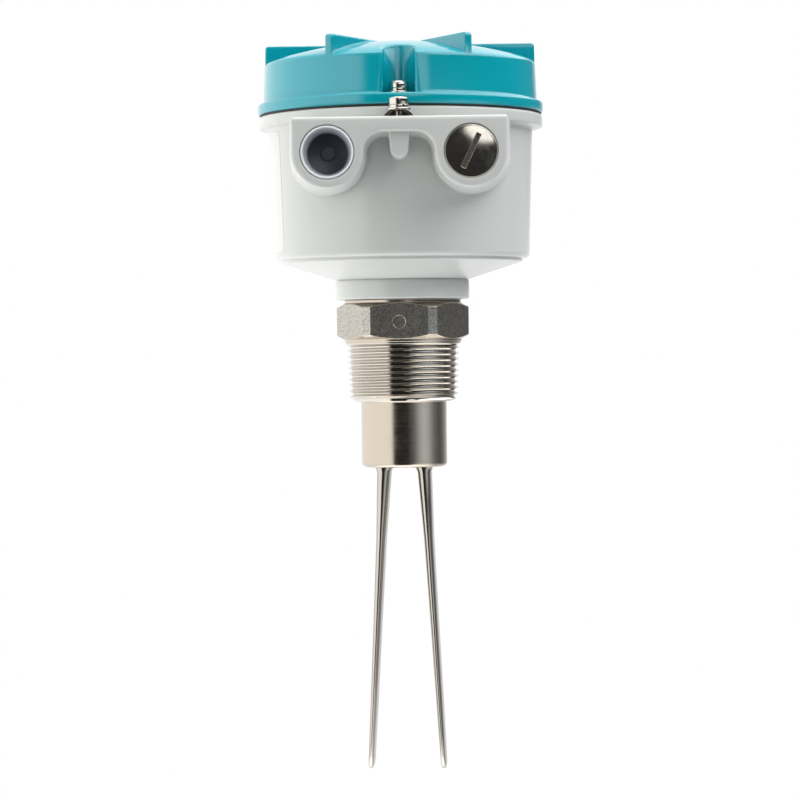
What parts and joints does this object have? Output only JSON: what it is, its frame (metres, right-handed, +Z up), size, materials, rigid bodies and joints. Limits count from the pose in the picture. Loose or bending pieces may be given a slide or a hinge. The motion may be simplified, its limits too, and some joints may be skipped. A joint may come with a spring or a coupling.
{
  "type": "tuning fork level switch",
  "caption": "Vibrating fork point level switch with a domed ribbed lid, a turnable cast housing with two conduit entries, a hexagon, a taper pipe thread and two splayed blades.",
  "frame": {"origin": "on the axis at the underside of the hexagon, where the process thread begins", "axes": "+Z up along the axis towards the lid, -Y towards the conduit entries, -Z towards the fork"},
  "size_m": [0.11, 0.1215, 0.28],
  "materials": {
    "lid_coat": "glossy powder coat on die-cast aluminium",
    "housing_coat": "satin powder coat on die-cast aluminium",
    "stainless": "turned stainless steel",
    "screw_steel": "bright stainless",
    "nickel_plate": "polished nickel plate",
    "contact_brass": "plain",
    "rubber": "matte",
    "cap_plastic": "translucent polyethylene",
    "piezo": "fired ceramic",
    "white_plastic": "moulded",
    "tray_plastic": "moulded",
    "board": "solder mask",
    "block_plastic": "moulded",
    "relay_plastic": "moulded",
    "led": "clear tinted",
    "blue_plastic": "moulded"
  },
  "bodies": {
    "probe": {"process_connection": "stainless", "vibrating_fork": "stainless", "swivel_o_ring": "rubber", "swivel_snap_ring": "screw_steel", "piezo_discs": "piezo", "contact_plates": "contact_brass", "insulating_washers": "white_plastic", "clamp_bolt": "stainless", "clamp_nut": "stainless", "sensor_lead": "rubber"},
    "enclosure": {"housing": "housing_coat", "lid_gasket": "rubber", "earth_screw": "screw_steel", "earth_lock_washer": "screw_steel", "earth_flat_washer": "screw_steel", "earth_clamp": "screw_steel", "blanking_plug": "nickel_plate", "transport_cap": "cap_plastic", "electronics_tray": "tray_plastic", "circuit_board": "board", "module_screws": "screw_steel", "terminal_block": "block_plastic", "terminal_screws": "screw_steel", "relay": "relay_plastic", "status_led": "led", "mode_switch": "blue_plastic", "sensitivity_trimmer": "blue_plastic", "inner_earth_screw": "screw_steel"},
    "cover": {"lid": "lid_coat", "lid_screws": "screw_steel", "lid_lock_washers": "screw_steel", "lid_flat_washers": "screw_steel"},
    "mode_knob": {"mode_slider": "white_plastic"},
    "dial": {"trimmer_dial": "white_plastic"}
  },
  "joints": [
    {"name": "housing_swivel", "type": "hinge", "parent": "probe", "child": "enclosure", "pos_m": [0, 0, 0.01625], "axis": [0, 0, 1], "range_deg": [-170, 170]},
    {"name": "lid_lift", "type": "slide", "parent": "enclosure", "child": "cover", "axis": [0, 0, 1], "range_m": [0, 0.06]},
    {"name": "mode_slide", "type": "slide", "parent": "enclosure", "child": "mode_knob", "axis": [1, 0, 0], "range_m": [0, 0.003]},
    {"name": "sensitivity_turn", "type": "hinge", "parent": "enclosure", "child": "dial", "pos_m": [-0.012, 0.017, 0.0587], "axis": [0, 0, 1], "range_deg": [-135, 135]}
  ]
}
